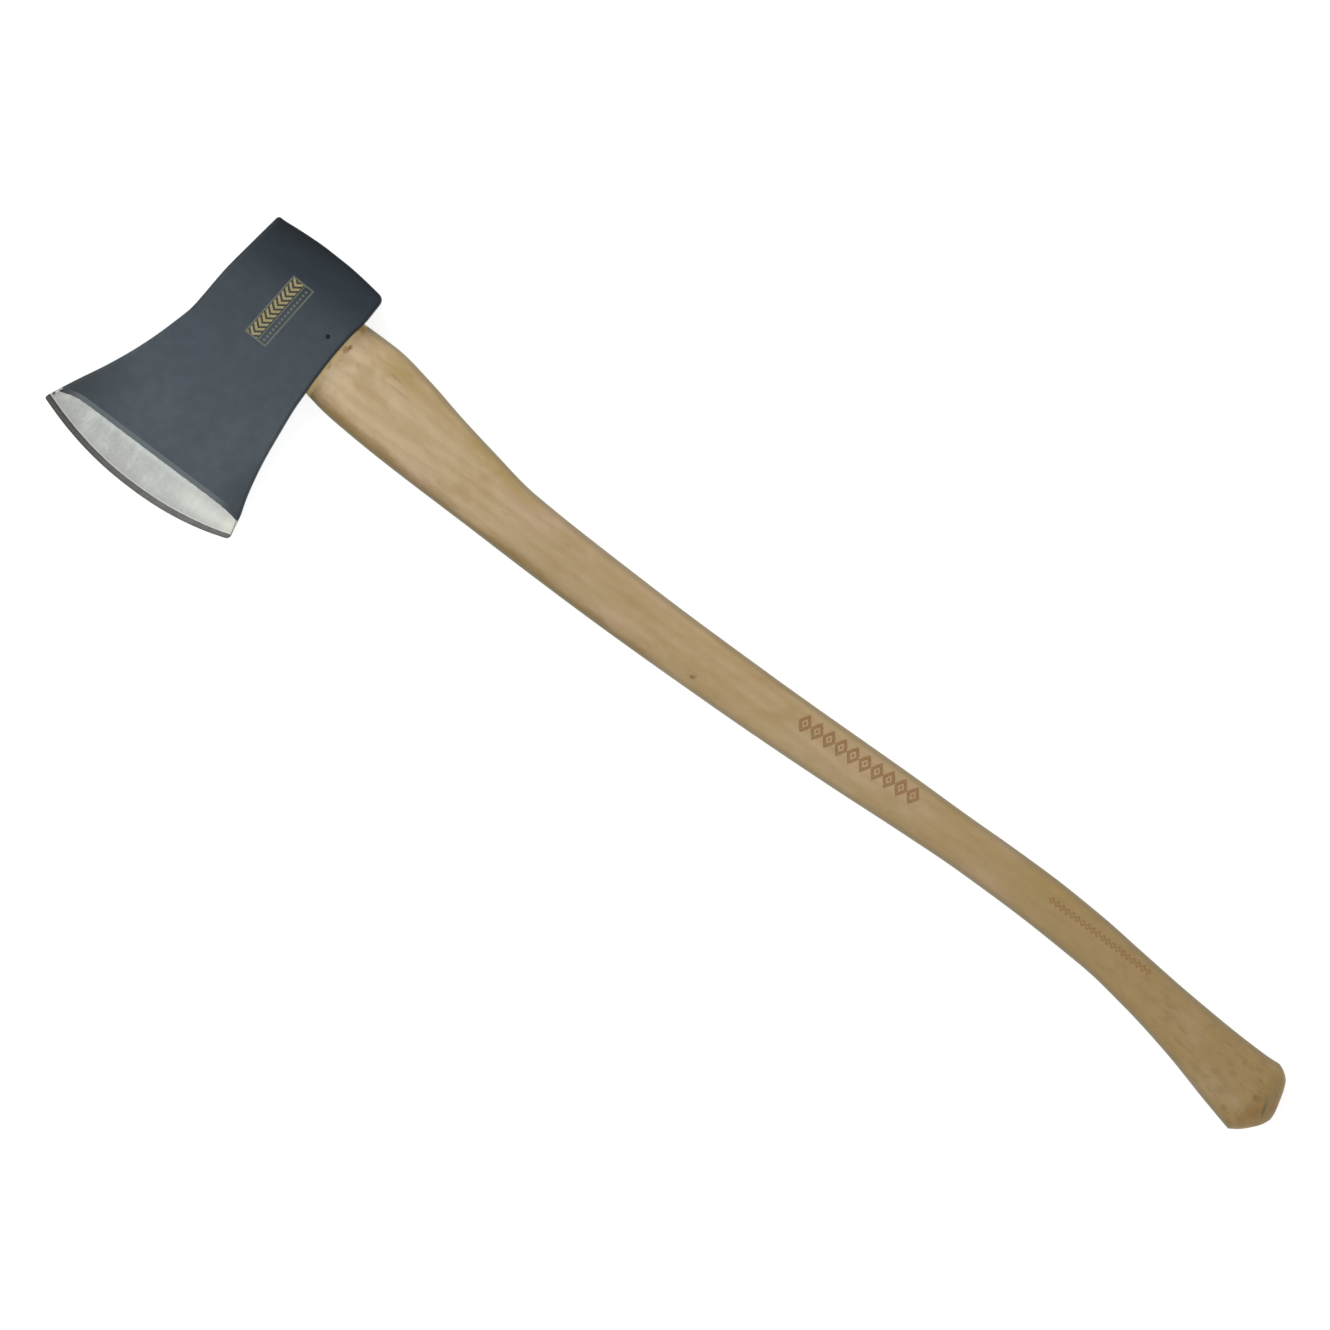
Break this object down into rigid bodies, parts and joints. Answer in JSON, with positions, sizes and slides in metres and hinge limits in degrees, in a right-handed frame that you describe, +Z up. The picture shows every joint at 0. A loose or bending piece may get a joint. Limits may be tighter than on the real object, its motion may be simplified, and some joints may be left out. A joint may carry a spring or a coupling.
{
  "type": "felling axe",
  "caption": "Single-bit felling axe: painted forged head with a ground bevel, wedged and pinned on a long curved hickory handle with a flared foot.",
  "frame": {"origin": "middle of the axe's outline in plan, level with the flat of the lower cheek", "axes": "+X up the eye, from the handle's foot to the top of the head; +Y from the poll towards the cutting edge; +Z up, out of the upper cheek"},
  "size_m": [0.94, 0.2068, 0.035],
  "materials": {
    "head_paint": "satin slate-grey stoved paint; the ground bevel is bare lacquered steel",
    "hickory": "sanded and oiled, satin",
    "wedge_wood": "sawn, unfinished",
    "wedge_steel": "mill finish, hammered at the top",
    "pin_steel": "dulled, set below the paint"
  },
  "bodies": {
    "root": {"axe_head": "head_paint", "handle": "hickory", "wooden_wedge": "wedge_wood", "steel_wedge_front": "wedge_steel", "steel_wedge_rear": "wedge_steel", "cross_pin": "pin_steel"}
  },
  "joints": []
}
